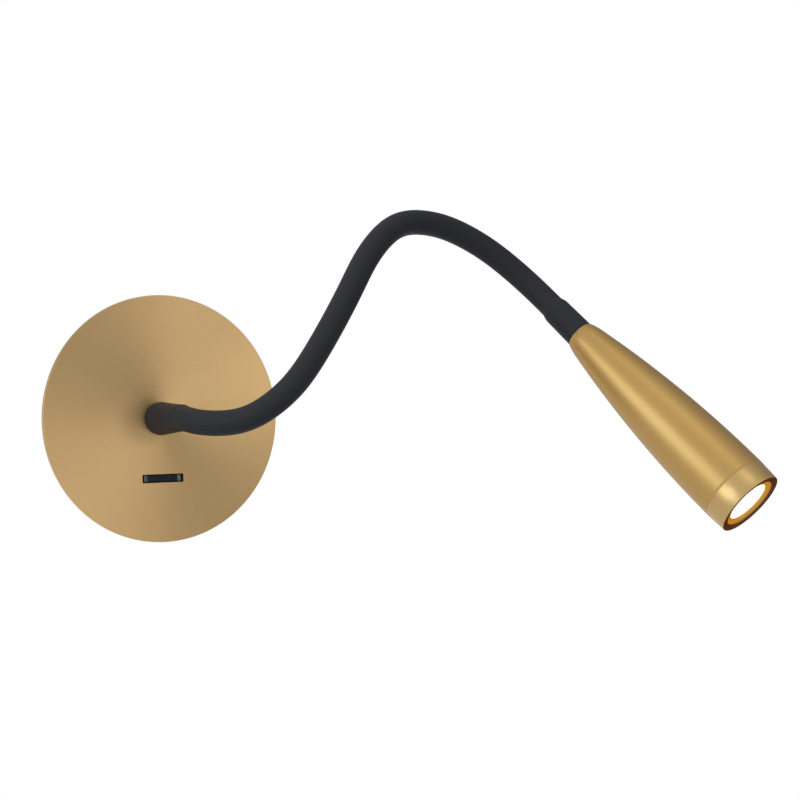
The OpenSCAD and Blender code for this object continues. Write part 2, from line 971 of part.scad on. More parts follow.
module head_leads() {
    color("firebrick")
        on_head() {
            translate([0, 0, core_start])
                cylinder(h = head_collar_len + lead_split - core_start, d = cable_d);
            for (side = [-1, 1])
                translate([side * 1, 0, head_collar_len + lead_split])
                    cylinder(h = board_back - lead_split, d = lead_d);
        }
}

wall_bracket();
cable_grommet();
back_can();
side_screws();
face_plate();
stud_nuts();
base_ferrule();
lock_washer();
lock_nut();
base_collar();
base_leads();
switch_case();
switch_contacts();
switch_pin();
rocker();
driver_case();
terminal_block();
terminal_screws();
for (k = [1:link_count]) {
    sleeve(k);
    core(k);
    cable(k);
}
head_collar();
head_ferrule();
head_nut();
head_shell();
front_ring();
bezel_ring();
lens();
reflector();
light_chip();
light_board();
heat_sink();
head_leads();
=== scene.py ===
"""Looks and studio of a wall light with a bendable arm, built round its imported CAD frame."""

import json
import math

import bmesh
import bpy
import numpy as np
from mathutils import Matrix, Vector


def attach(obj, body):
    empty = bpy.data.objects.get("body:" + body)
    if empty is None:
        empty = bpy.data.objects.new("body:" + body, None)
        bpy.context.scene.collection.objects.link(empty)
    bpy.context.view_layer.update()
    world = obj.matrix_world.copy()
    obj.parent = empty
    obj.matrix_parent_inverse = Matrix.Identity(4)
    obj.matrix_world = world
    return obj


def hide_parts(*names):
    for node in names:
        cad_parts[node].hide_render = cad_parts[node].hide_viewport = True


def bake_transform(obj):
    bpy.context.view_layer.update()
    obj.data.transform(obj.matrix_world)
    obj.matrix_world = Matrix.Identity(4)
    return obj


bl_info = {
    "name": "Flexible arm wall light",
    "version": (1, 0, 0),
    "blender": (4, 5, 0),
    "location": "View3D > Sidebar > Wall light",
    "description": "Builds the surfaces, finishes and studio of a wall light with a bendable arm",
    "category": "Object",
}

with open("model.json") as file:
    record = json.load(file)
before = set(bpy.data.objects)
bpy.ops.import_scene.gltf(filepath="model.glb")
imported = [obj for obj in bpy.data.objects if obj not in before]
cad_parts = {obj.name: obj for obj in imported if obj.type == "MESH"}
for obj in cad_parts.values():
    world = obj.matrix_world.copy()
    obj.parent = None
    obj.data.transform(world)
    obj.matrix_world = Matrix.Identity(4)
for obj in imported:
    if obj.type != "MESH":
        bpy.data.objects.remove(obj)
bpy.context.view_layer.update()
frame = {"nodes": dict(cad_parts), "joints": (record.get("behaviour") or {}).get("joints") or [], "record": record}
MM = 0.001

# Edges sharper than this angle stay creases, and corners closer than this, in metres, are one
SHARP = math.radians(32)
MERGE = 1e-7

# Room left between two round pieces that fit into each other, in mm
SLIP = 0.05

# The arm's joints as the frame holds them, from the base to the head
BENDS = [j for j in frame["joints"] if j["name"].startswith("bend_")]
LINKS = len(BENDS) - 1

# Directions of the arm at its joints, in degrees, as the CAD has them
SWING = (0, 40, 62, 88, 102, 112, 112, 100, 89, 75, 33)
RISE = (-10, 0, 35, 54, 55, 54, 36, -3, -26, -40.5, -43.5)


# Sizes and colours


def length_prop(name, text, millimetres):
    kind = dict(min=0.0, precision=5, unit="LENGTH", subtype="DISTANCE")
    return bpy.props.FloatProperty(name=name, description=text, default=millimetres * MM, **kind)


def angles_prop(name, text, degrees):
    kind = dict(default=[math.radians(a) for a in degrees], size=len(degrees), unit="ROTATION")
    return bpy.props.FloatVectorProperty(name=name, description=text, **kind)


def colour_prop(name, text, default):
    kind = dict(default=default, size=3, subtype="COLOR", min=0.0, max=1.0)
    return bpy.props.FloatVectorProperty(name=name, description=text, **kind)


class WallLightSizes(bpy.types.PropertyGroup):
    plate_diameter: length_prop("Plate diameter", "Round plate on the wall", 120)
    plate_front: length_prop("Plate front", "Distance of the plate's front from the wall", 22)
    plate_thickness: length_prop("Plate thickness", "Sheet of the plate", 2)
    plate_edge: length_prop("Plate edge", "Rounding of the plate's front edge", 0.45)
    slot_width: length_prop("Slot width", "Width of the rocker's slot", 21)
    slot_height: length_prop("Slot height", "Height of the rocker's slot", 4)
    slot_drop: length_prop("Slot drop", "Slot's centre below the plate's centre", 29)
    stud_side: length_prop("Stud side", "Each stud from the plate's upright centre line", 35.99)
    stud_height: length_prop("Stud height", "Studs above the plate's centre", 9)
    arm_diameter: length_prop("Arm diameter", "Rubber sleeve of the arm", 12)
    link_pitch: length_prop("Joint spacing", "Distance along the arm between two joints", 26)
    sleeve_wall: length_prop("Sleeve wall", "Thickness of the rubber sleeve", 1.8)
    base_collar_root: length_prop("Base collar root", "Diameter on the plate", 16.2)
    base_collar_tip: length_prop("Base collar tip", "Diameter before its step", 12.9)
    base_collar_length: length_prop("Base collar length", "From the plate to the end of its step", 31)
    head_collar_tip: length_prop("Head collar tip", "Diameter after its step", 13.7)
    head_collar_root: length_prop("Head collar root", "Diameter at the head", 14.2)
    head_collar_length: length_prop("Head collar length", "From the last joint to the head", 28)
    head_length: length_prop("Head length", "With the front ring", 120.5)
    head_back: length_prop("Head back", "Diameter at the back end", 14.4)
    head_widest: length_prop("Head widest", "Diameter at the widest place", 35.5)
    head_widest_at: length_prop("Widest place", "Distance from the back end", 109)
    head_side: length_prop("Head side", "Radius of the long arc of the side", 605)
    head_shoulder: length_prop("Head shoulder", "Radius of the shoulder at the back end", 32)
    shoulder_rise: length_prop("Shoulder rise", "How far the shoulder widens the back end", 0.65)
    head_wall: length_prop("Head wall", "Wall of the head's shell", 1.6)
    ring_length: length_prop("Ring length", "Front ring of the head", 11)
    ring_front: length_prop("Ring front", "Diameter of the ring at the very front", 34.6)
    mouth: length_prop("Mouth", "Diameter of the opening in the ring", 27.5)
    rim_dish: length_prop("Rim dish", "How far the rim slopes in towards the mouth", 0.6)
    lens_depth: length_prop("Lens depth", "Lens behind the front face", 2)
    lens_shown: length_prop("Lens", "Diameter of the lens inside the bezel", 22)
    arm_swing: angles_prop("Arm swing", "Angle to the right of straight out, at each joint", SWING)
    arm_rise: angles_prop("Arm rise", "Angle above level, at each joint", RISE)


class WallLightColours(bpy.types.PropertyGroup):
    head: colour_prop("Head", "Satin brass of the head", (0.435, 0.273, 0.094))
    plate: colour_prop("Plate", "Satin brass of the plate", (0.51, 0.338, 0.157))
    ring: colour_prop("Front ring", "Slightly paler brass of the front ring", (0.475, 0.322, 0.130))
    # Painted shade: the ring's front face is coloured dark brown
    rim: colour_prop("Rim", "Painted shade on the ring's front face", (0.15, 0.082, 0.040))
    bezel: colour_prop("Bezel", "Bright cone round the lens", (0.56, 0.31, 0.09))
    rubber: colour_prop("Rubber", "Arm sleeve and collars", (0.0163, 0.0173, 0.0199))
    rocker: colour_prop("Rocker", "Blue black plastic", (0.004, 0.004, 0.009))
    # Painted glints: the tops of the rocker's ribs are coloured lighter than the bar
    rib: colour_prop("Ribs", "Painted glints on the tops of the rocker's ribs", (0.08, 0.082, 0.085))
    light: colour_prop("Light", "Colour of the lit lens", (1.0, 0.93, 0.78))


def size(name):
    """One of the sizes, in millimetres."""
    return getattr(bpy.context.scene.wall_light_sizes, name) / MM


def colour(name):
    return tuple(getattr(bpy.context.scene.wall_light_colours, name))


# The arm's route


def heading(swing, rise):
    """Unit direction from an angle to the right of straight out and an angle above level."""
    level = math.cos(rise)
    return np.array([math.sin(swing) * level, -math.cos(swing) * level, math.sin(rise)])


def headings():
    group = bpy.context.scene.wall_light_sizes
    return [heading(s, r) for s, r in zip(group.arm_swing, group.arm_rise)]


def joint_points():
    return [np.array(j["pos_m"]) / MM for j in BENDS]


def route_points(step):
    """Centreline of the arm in mm, from inside the base collar to inside the head collar."""
    neck, clearance = 1.5, 0.5
    lead_in, lead_out = 9.0, 12.0
    tolerance = 0.05
    stub = size("arm_diameter") / 2 + clearance
    arc = size("link_pitch") - stub - neck
    ways, joints = headings(), joint_points()
    out_of_the_wall = heading(0, 0)
    line = [joints[0] - out_of_the_wall * s for s in np.arange(lead_in, 0, -step)]
    for k in range(LINKS):
        start, end = ways[k], ways[k + 1]
        bend = math.acos(np.clip(start @ end, -1, 1))
        radius = arc / bend
        toward = (end - math.cos(bend) * start) / math.sin(bend)
        centre = joints[k] + stub * start + radius * toward
        line += [joints[k] + start * s for s in np.arange(0, stub, step)]
        for a in np.linspace(0, bend, round(arc / step) + 1):
            line.append(centre - radius * math.cos(a) * toward + radius * math.sin(a) * start)
        if np.linalg.norm(line[-1] + neck * end - joints[k + 1]) > tolerance:
            raise RuntimeError(f"the route misses joint {k + 2}: its angles are not the CAD's")
    line += [joints[-1] + ways[-1] * s for s in np.arange(0, lead_out, step)]
    return np.array(line)


def moving_average(line, step, spread):
    """The line under a Gaussian cut off at three times its spread, with both ends run on straight."""
    reach = int(3 * spread / step)
    weights = np.exp(-0.5 * (np.arange(-reach, reach + 1) * step / spread) ** 2)
    weights /= weights.sum()
    before = line[0] + (line[1] - line[0]) * np.arange(-reach, 0)[:, None]
    after = line[-1] + (line[-1] - line[-2]) * np.arange(1, reach + 1)[:, None]
    padded = np.vstack([before, line, after])
    return np.stack([np.convolve(padded[:, i], weights, "valid") for i in range(3)], 1)


def smooth_route(step=0.8, spread=9.0):
    """The route with its changes of curvature eased, evenly spaced, and still close to the CAD's."""
    raw = route_points(step / 2)
    along = np.r_[0, np.cumsum(np.linalg.norm(np.diff(raw, axis=0), axis=1))]
    even = np.arange(0, along[-1], step)
    line = np.stack([np.interp(even, along, raw[:, i]) for i in range(3)], 1)
    eased = moving_average(line, step, spread)
    return eased + moving_average(line - eased, step, spread)


# Meshes


def new_object(name, data):
    obj = bpy.data.objects.new(name, data)
    bpy.context.scene.collection.objects.link(obj)
    return obj


def mesh_of(bm, name):
    mesh = bpy.data.meshes.new(name)
    bm.to_mesh(mesh)
    bm.free()
    return mesh


def finish_mesh(mesh):
    """Smooth faces with creases kept, and faces that point outwards."""
    bm = bmesh.new()
    bm.from_mesh(mesh)
    bmesh.ops.remove_doubles(bm, verts=bm.verts, dist=MERGE)
    bmesh.ops.recalc_face_normals(bm, faces=bm.faces)
    if bm.calc_volume(signed=True) < 0:
        bmesh.ops.reverse_faces(bm, faces=bm.faces)
    bm.to_mesh(mesh)
    bm.free()
    mesh.shade_smooth()
    mesh.set_sharp_from_angle(angle=SHARP)
    mesh.update()
    return mesh


def circle_points(radius, count):
    turns = np.linspace(0, 2 * math.pi, count, endpoint=False)
    return [(radius * math.cos(a), radius * math.sin(a)) for a in turns]


def strip(a, b):
    """Corners of the faces between two closed loops."""
    return list(zip(a, a[1:] + a[:1], b[1:] + b[:1], b))


def turned_mesh(name, profile, place, steps=128):
    """A solid of revolution from a closed profile of (radius, height) pairs in mm, about its own z."""
    verts, rings, on_axis = [], [], 1e-6
    for radius, height in profile:
        if radius < on_axis:
            rings.append([len(verts)])
            verts.append((0, 0, height))
        else:
            rings.append(list(range(len(verts), len(verts) + steps)))
            verts += [(x, y, height) for x, y in circle_points(radius, steps)]
    faces = []
    for a, b in zip(rings, rings[1:] + rings[:1]):
        if len(a) > 1 and len(b) > 1:
            faces += strip(a, b)
        elif len(b) > 1:
            faces += [(a[0], p, q) for p, q in zip(b, b[1:] + b[:1])]
        elif len(a) > 1:
            faces += [(p, q, b[0]) for p, q in zip(a, a[1:] + a[:1])]
    mesh = bpy.data.meshes.new(name)
    mesh.from_pydata([place @ Vector(v) * MM for v in verts], [], faces)
    return finish_mesh(mesh)


def out_of_wall(height=0.0, right=0.0, out=0.0):
    """Local z comes out of the wall, x is to the right and y is up, in mm."""
    turn = Matrix(((1, 0, 0), (0, 0, -1), (0, 1, 0))).to_4x4()
    return Matrix.Translation((right, -out, height)) @ turn


def along_head(distance=0.0):
    """Local z is the head's axis, from the last arm joint, in mm."""
    axis = Vector(headings()[-1])
    side = Vector((0, 0, 1)).cross(axis).normalized()
    turn = Matrix((side, axis.cross(side), axis)).transposed().to_4x4()
    origin = Vector(joint_points()[-1])
    return Matrix.Translation(origin + axis * distance) @ turn


def rounded(corner, before, after, radius, steps=5):
    """Points of a fillet at a profile's corner."""
    c, p, q = (np.array(v, float) for v in (corner, before, after))
    start = c + (p - c) / np.linalg.norm(p - c) * radius
    end = c + (q - c) / np.linalg.norm(q - c) * radius
    shares = np.linspace(0, 1, steps + 1)
    return [tuple((1 - t) ** 2 * start + 2 * t * (1 - t) * c + t * t * end) for t in shares]


def eased_step(from_radius, to_radius, start, end, steps=14):
    """Profile points of a soft step between two radii."""
    points = []
    for t in np.linspace(0, 1, steps):
        ease = t * t * (3 - 2 * t)
        points.append((from_radius + (to_radius - from_radius) * ease, start + (end - start) * t))
    return points


def set_material(obj, *materials):
    obj.data.materials.clear()
    for m in materials:
        obj.data.materials.append(m)


def dress(obj, body, slot, *nodes):
    """Puts a finished piece on its body, in place of the CAD nodes that it stands for."""
    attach(obj, body)
    if nodes:
        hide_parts(*nodes)


# Shader helpers


def wire(tree, source, socket):
    """Joins an output to a socket, or sets the socket to a plain value."""
    if isinstance(source, bpy.types.NodeSocket):
        tree.links.new(source, socket)
    else:
        socket.default_value = source


def set_inputs(node, values):
    for label, value in values.items():
        node.inputs[label].default_value = value


def add_inputs(tree, inputs):
    for label, kind, default in inputs:
        socket = tree.interface.new_socket(name=label, in_out="INPUT", socket_type=kind)
        if default is not None:
            socket.default_value = default


def math_node(tree, operation, *values, clamp=False):
    node = tree.nodes.new("ShaderNodeMath")
    node.operation = operation
    node.use_clamp = clamp
    for socket, value in zip(node.inputs, values):
        wire(tree, value, socket)
    return node.outputs[0]


def mix_colour(tree, factor, a, b, blend="MIX"):
    node = tree.nodes.new("ShaderNodeMix")
    node.data_type = "RGBA"
    node.blend_type = blend
    wire(tree, factor, node.inputs["Factor"])
    wire(tree, a, node.inputs[6])
    wire(tree, b, node.inputs[7])
    return node.outputs[2]


def map_range(tree, value, low, high, to_low=0.0, to_high=1.0):
    """Eases a value from one range into another."""
    node = tree.nodes.new("ShaderNodeMapRange")
    node.interpolation_type = "SMOOTHSTEP"
    for socket, v in zip(node.inputs, (value, low, high, to_low, to_high)):
        wire(tree, v, socket)
    return node.outputs[0]


def noise(tree, vector, scale, detail, roughness):
    node = tree.nodes.new("ShaderNodeTexNoise")
    wire(tree, vector, node.inputs["Vector"])
    set_inputs(node, {"Scale": scale, "Detail": detail, "Roughness": roughness})
    return node.outputs["Fac"]


def split(tree, vector):
    node = tree.nodes.new("ShaderNodeSeparateXYZ")
    wire(tree, vector, node.inputs[0])
    return node.outputs


def join(tree, x, y, z):
    node = tree.nodes.new("ShaderNodeCombineXYZ")
    for socket, v in zip(node.inputs, (x, y, z)):
        wire(tree, v, socket)
    return node.outputs[0]


def off_axis(tree, x, y):
    """Distance from the z axis."""
    squares = [math_node(tree, "MULTIPLY", value, value) for value in (x, y)]
    return math_node(tree, "SQRT", math_node(tree, "ADD", *squares))


def node_of_type(tree, kind):
    return next(n for n in tree.nodes if n.type == kind)


def tinted(tree, given, tone):
    """The group's colour, lighter or darker by a tone around nought."""
    value = math_node(tree, "ADD", 1.0, tone)
    return mix_colour(tree, 1.0, given["Colour"], join(tree, value, value, value), "MULTIPLY")


def node_group(name, inputs, outputs, build):
    """A shader node group with named sockets, built once."""
    if name in bpy.data.node_groups:
        return bpy.data.node_groups[name]
    tree = bpy.data.node_groups.new(name, "ShaderNodeTree")
    add_inputs(tree, inputs)
    for label, kind in outputs:
        tree.interface.new_socket(name=label, in_out="OUTPUT", socket_type=kind)
    entry = tree.nodes.new("NodeGroupInput")
    leave = tree.nodes.new("NodeGroupOutput")
    for label, source in build(tree, entry.outputs).items():
        tree.links.new(source, leave.inputs[label])
    return tree


NUMBER, COLOUR, VECTOR = "NodeSocketFloat", "NodeSocketColor", "NodeSocketVector"
FINISH_OUTPUTS = [("Colour", COLOUR), ("Roughness", NUMBER), ("Height", NUMBER)]


def turned_lines_group():
    """Fine lines of turning or circular brushing, round the z axis of the pattern's space in mm, and a painted
    sheen of wedges round that axis.
    """

    def build(tree, given):
        def m(operation, *values, **options):
            return math_node(tree, operation, *values, **options)

        hub, one_sided_sheen, gloss_change = 0.05, 0.65, 0.22
        x, y, z = split(tree, given["Place"])
        radius = off_axis(tree, x, y)
        safe = m("MAXIMUM", radius, hub)
        on_face = m("MULTIPLY", radius, given["Across face"])
        across = m("ADD", on_face, m("MULTIPLY", z, given["Along axis"]))
        round_x = m("MULTIPLY", m("DIVIDE", x, safe), given["Streak length"])
        round_y = m("MULTIPLY", m("DIVIDE", y, safe), given["Streak length"])
        place = join(tree, across, round_x, round_y)
        lines = noise(tree, place, scale=1.0, detail=4.0, roughness=0.65)
        broad = noise(tree, given["Place"], scale=0.035, detail=2.0, roughness=0.5)
        shade = m("SUBTRACT", lines, 0.5)
        drift = m("SUBTRACT", broad, 0.5)
        tone = m("ADD", m("MULTIPLY", shade, given["Contrast"]), m("MULTIPLY", drift, given["Cloudiness"]))
        # Painted sheen: two lighter and two darker wedges round the axis, painted into the colour as light shows
        # them on a brushed disc
        turn = m("SUBTRACT", m("ARCTAN2", y, x), given["Fan turn"])
        twice = m("COSINE", m("MULTIPLY", turn, 2.0))
        painted_sheen = m("ADD", twice, m("MULTIPLY", m("COSINE", turn), one_sided_sheen))
        tone = m("ADD", tone, m("MULTIPLY", painted_sheen, given["Fan"]))
        rough = m("ADD", given["Roughness"], m("MULTIPLY", shade, gloss_change), clamp=True)
        return {"Colour": tinted(tree, given, tone), "Roughness": rough, "Height": lines}

    inputs = [
        ("Place", VECTOR, None),
        ("Colour", COLOUR, None),
        ("Roughness", NUMBER, 0.35),
        ("Across face", NUMBER, 0.0),
        ("Along axis", NUMBER, 8.0),
        ("Streak length", NUMBER, 3.0),
        ("Contrast", NUMBER, 0.1),
        ("Cloudiness", NUMBER, 0.1),
        # Strength and angle of the painted sheen
        ("Fan", NUMBER, 0.0),
        ("Fan turn", NUMBER, 0.0),
    ]
    return node_group("turned lines", inputs, FINISH_OUTPUTS, build)


def fine_grain_group():
    """Grain of moulded, coated or cast surfaces, with faint handling marks."""

    def build(tree, given):
        gloss_change = 0.25
        grain = noise(tree, given["Place"], scale=3.2, detail=3.0, roughness=0.6)
        marks = noise(tree, given["Place"], scale=0.12, detail=4.0, roughness=0.6)
        fine = math_node(tree, "SUBTRACT", grain, 0.5)
        wear_and_painted_glint = math_node(tree, "SUBTRACT", marks, 0.5)
        speckle = math_node(tree, "MULTIPLY", fine, given["Contrast"])
        tone = math_node(tree, "ADD", speckle, math_node(tree, "MULTIPLY", wear_and_painted_glint, given["Marks"]))
        spread = math_node(tree, "MULTIPLY", wear_and_painted_glint, gloss_change)
        rough = math_node(tree, "ADD", given["Roughness"], spread, clamp=True)
        return {"Colour": tinted(tree, given, tone), "Roughness": rough, "Height": grain}

    inputs = [
        ("Place", VECTOR, None),
        ("Colour", COLOUR, None),
        ("Roughness", NUMBER, 0.5),
        ("Contrast", NUMBER, 0.15),
        ("Marks", NUMBER, 0.1),
    ]
    return node_group("fine grain", inputs, FINISH_OUTPUTS, build)


def pattern_space(tree, place=None):
    """Object coordinates in mm, in the space of a matrix that places the pattern's own axis."""
    coordinates = tree.nodes.new("ShaderNodeTexCoord").outputs["Object"]
    inverse = (place or Matrix.Identity(4)).inverted()
    mapping = tree.nodes.new("ShaderNodeMapping")
    mapping.vector_type = "POINT"
    tree.links.new(coordinates, mapping.inputs["Vector"])
    turn, shift = inverse.to_euler(), inverse.translation
    set_inputs(mapping, {"Scale": (1 / MM,) * 3, "Rotation": turn, "Location": shift})
    return mapping.outputs["Vector"]


def blank_material(name):
    material = bpy.data.materials.new(name)
    material.use_nodes = True
    tree = material.node_tree
    tree.nodes.clear()
    output = tree.nodes.new("ShaderNodeOutputMaterial")
    shader = tree.nodes.new("ShaderNodeBsdfPrincipled")
    tree.links.new(shader.outputs[0], output.inputs["Surface"])
    return material, tree, shader


def grouped_material(name, group, tint, metallic, bump, place=None, specular=0.5, edge=None, **values):
    """A Principled material whose colour, roughness and bump come from one of the shared groups."""
    relief_depth = 0.02
    if name in bpy.data.materials:
        return bpy.data.materials[name]
    material, tree, shader = blank_material(name)
    node = tree.nodes.new("ShaderNodeGroup")
    node.node_tree = group
    tree.links.new(pattern_space(tree, place), node.inputs["Place"])
    set_inputs(node, {"Colour": (*tint, 1)})
    set_inputs(node, {label.replace("_", " "): value for label, value in values.items()})
    tree.links.new(node.outputs["Colour"], shader.inputs["Base Color"])
    tree.links.new(node.outputs["Roughness"], shader.inputs["Roughness"])
    set_inputs(shader, {"Metallic": metallic, "Specular IOR Level": specular})
    if edge:
        set_inputs(shader, {"Specular Tint": (*edge, 1)})
    relief = tree.nodes.new("ShaderNodeBump")
    set_inputs(relief, {"Strength": bump, "Distance": relief_depth * MM})
    tree.links.new(node.outputs["Height"], relief.inputs["Height"])
    tree.links.new(relief.outputs["Normal"], shader.inputs["Normal"])
    return material


def brass(name, tint, place, **values):
    settings = dict(Roughness=0.40, Along_axis=9.0, Streak_length=2.5, Contrast=0.07, Cloudiness=0.06)
    settings.update(values)
    group = turned_lines_group()
    return grouped_material(name, group, tint, metallic=1.0, bump=0.15, place=place, **settings)


def plate_brass():
    """Brass brushed in circles, along which what it mirrors is drawn out, with a painted sheen of lighter and
    darker wedges in its colour.
    """
    settings = dict(Roughness=0.30, Along_axis=0.0, Across_face=7.0, Streak_length=5.0)
    # Painted sheen: wedges round the centre lighter and darker by about a fifth, lightest towards the upper right
    settings.update(Contrast=0.06, Cloudiness=0.08, Fan=0.23, Fan_turn=math.radians(42))
    material = brass("plate brass", colour("plate"), out_of_wall(), **settings)
    tree = material.node_tree
    shader = node_of_type(tree, "BSDF_PRINCIPLED")
    set_inputs(shader, {"Anisotropic": 0.9})
    tangent = tree.nodes.new("ShaderNodeTangent")
    tangent.direction_type = "RADIAL"
    tangent.axis = "Y"
    tree.links.new(tangent.outputs[0], shader.inputs["Tangent"])
    return material


def rim_painted_shade(place):
    """Painted shade on the face round the mouth: dark brown, and brown at a glance along it too."""
    settings = dict(metallic=1.0, bump=0.1, edge=(0.30, 0.19, 0.11))
    settings.update(Roughness=0.5, Along_axis=0.0, Across_face=8.0)
    return grouped_material("rim bronze", turned_lines_group(), colour("rim"), place=place, **settings)


def rubber_material():
    settings = dict(metallic=0.0, bump=0.3, specular=0.07, Roughness=0.48, Contrast=0.12, Marks=0.2)
    return grouped_material("arm rubber", fine_grain_group(), colour("rubber"), **settings)


def material_of(slot):
    """The finish of a CAD part that keeps its shape, from the record's slot."""
    kind = next(m for m in frame["record"]["materials"] if m["slot"] == slot)
    tint, bump = kind["base_color"][:3], 0.3
    if kind["class"] in ("aluminium", "brushed_steel", "brass", "chrome"):
        group, place = turned_lines_group(), out_of_wall()
        settings = dict(Roughness=0.36, Along_axis=6.0, Across_face=6.0, Contrast=0.16, Cloudiness=0.2)
        return grouped_material(slot, group, tint, metallic=1.0, bump=bump, place=place, **settings)
    rough = {"gloss_plastic": 0.28, "rubber": 0.62, "painted_metal": 0.5}.get(kind["class"], 0.48)
    settings = dict(Roughness=rough, Contrast=0.12, Marks=0.16)
    return grouped_material(slot, fine_grain_group(), tint, metallic=0.0, bump=bump, **settings)


def lit_material(place):
    """Frosted lens lit from behind: white in the middle and warmer towards its edge."""
    material, tree, shader = blank_material("lit lens")
    white, warmth, white_share = (1.0, 0.985, 0.95, 1), (1.0, 0.84, 0.55), 0.68
    x, y = split(tree, pattern_space(tree, place))[:2]
    edge_at = size("lens_shown") / 2
    edge = map_range(tree, off_axis(tree, x, y), white_share * edge_at, edge_at)
    warm = [light * share for light, share in zip(colour("light"), warmth)] + [1]
    tree.links.new(mix_colour(tree, edge, white, warm), shader.inputs["Emission Color"])
    unlit = {"Base Color": (0.95, 0.93, 0.88, 1), "Roughness": 0.4}
    set_inputs(shader, unlit | {"Emission Strength": 1.3})
    return material


# Operators


class PieceOperator:
    bl_options = {"REGISTER", "UNDO"}


class WALLLIGHT_OT_plate(PieceOperator, bpy.types.Operator):
    """Round face plate with its slot, soft edges and welded studs"""

    bl_idname = "wall_light.plate"
    bl_label = "Face plate"

    def execute(self, context):
        plate = new_object("plate", self.plate_mesh())
        set_material(plate, plate_brass())
        dress(plate, "base", "gold_plate", "face_plate")
        radius, tip, weld, chamfer = 1.5, 12, 20, 0.3
        profile = [(0, tip), (radius - 0.2, tip), (radius, tip + chamfer), (radius, weld), (0, weld)]
        for side, label in ((-1, "left"), (1, "right")):
            place = out_of_wall(size("stud_height"), side * size("stud_side"))
            stud = new_object(f"stud_{label}", turned_mesh("stud", profile, place, steps=32))
            set_material(stud, material_of("gold_plate"))
            dress(stud, "base", "gold_plate")
        return {"FINISHED"}

    def slot(self, grow, corner=0.35, steps=5):
        """The slot's outline with rounded corners, grown on all sides."""
        w = size("slot_width") / 2 + grow
        h = size("slot_height") / 2 + grow
        r = corner + grow
        corners = ((w - r, h - r, 0), (r - w, h - r, 90), (r - w, r - h, 180), (w - r, r - h, 270))
        points = []
        for x, y, start in corners:
            for i in range(steps + 1):
                a = math.radians(start + 90 * i / steps)
                points.append((x + r * math.cos(a), y - size("slot_drop") + r * math.sin(a)))
        return points

    def rings(self):
        """Rings from the flat front round each edge to the back, as (outline, distance from the wall)."""
        front = size("plate_front")
        back = front - size("plate_thickness")
        radius, edge = size("plate_diameter") / 2, size("plate_edge")
        slot_edge, flat, back_edge, hole_radius, steps = 0.18, 0.35, 0.2, 5.05, 240
        quarter = [math.radians(a) for a in (0, 22.5, 45, 67.5, 90)]
        rows = [(radius - edge - flat, front)]
        for a in quarter:
            rows.append((radius - edge * (1 - math.sin(a)), front - edge * (1 - math.cos(a))))
        rows += [(radius, back + back_edge), (radius - back_edge, back)]
        outer = [(circle_points(r, steps), distance) for r, distance in rows]
        window = [(self.slot(slot_edge + flat), front)]
        for a in quarter:
            grow, sunk = slot_edge * (1 - math.sin(a)), slot_edge * (1 - math.cos(a))
            window.append((self.slot(grow), front - sunk))
        window.append((self.slot(0), back))
        hole = [(circle_points(hole_radius, steps), distance) for distance in (front, back)]
        return outer, window, hole

    def plate_mesh(self):
        bm = bmesh.new()
        fronts, backs = [], []
        for rings in self.rings():
            made = [[bm.verts.new((x * MM, -out * MM, z * MM)) for x, z in ring] for ring, out in rings]
            for a, b in zip(made, made[1:]):
                for corners in strip(a, b):
                    bm.faces.new(corners)
            fronts.append(made[0])
            backs.append(made[-1])
        for loops in (fronts, backs):
            edges = [bm.edges.get((ring[i - 1], ring[i])) for ring in loops for i in range(len(ring))]
            bmesh.ops.triangle_fill(bm, use_beauty=True, use_dissolve=False, edges=edges)
        return finish_mesh(mesh_of(bm, "plate"))


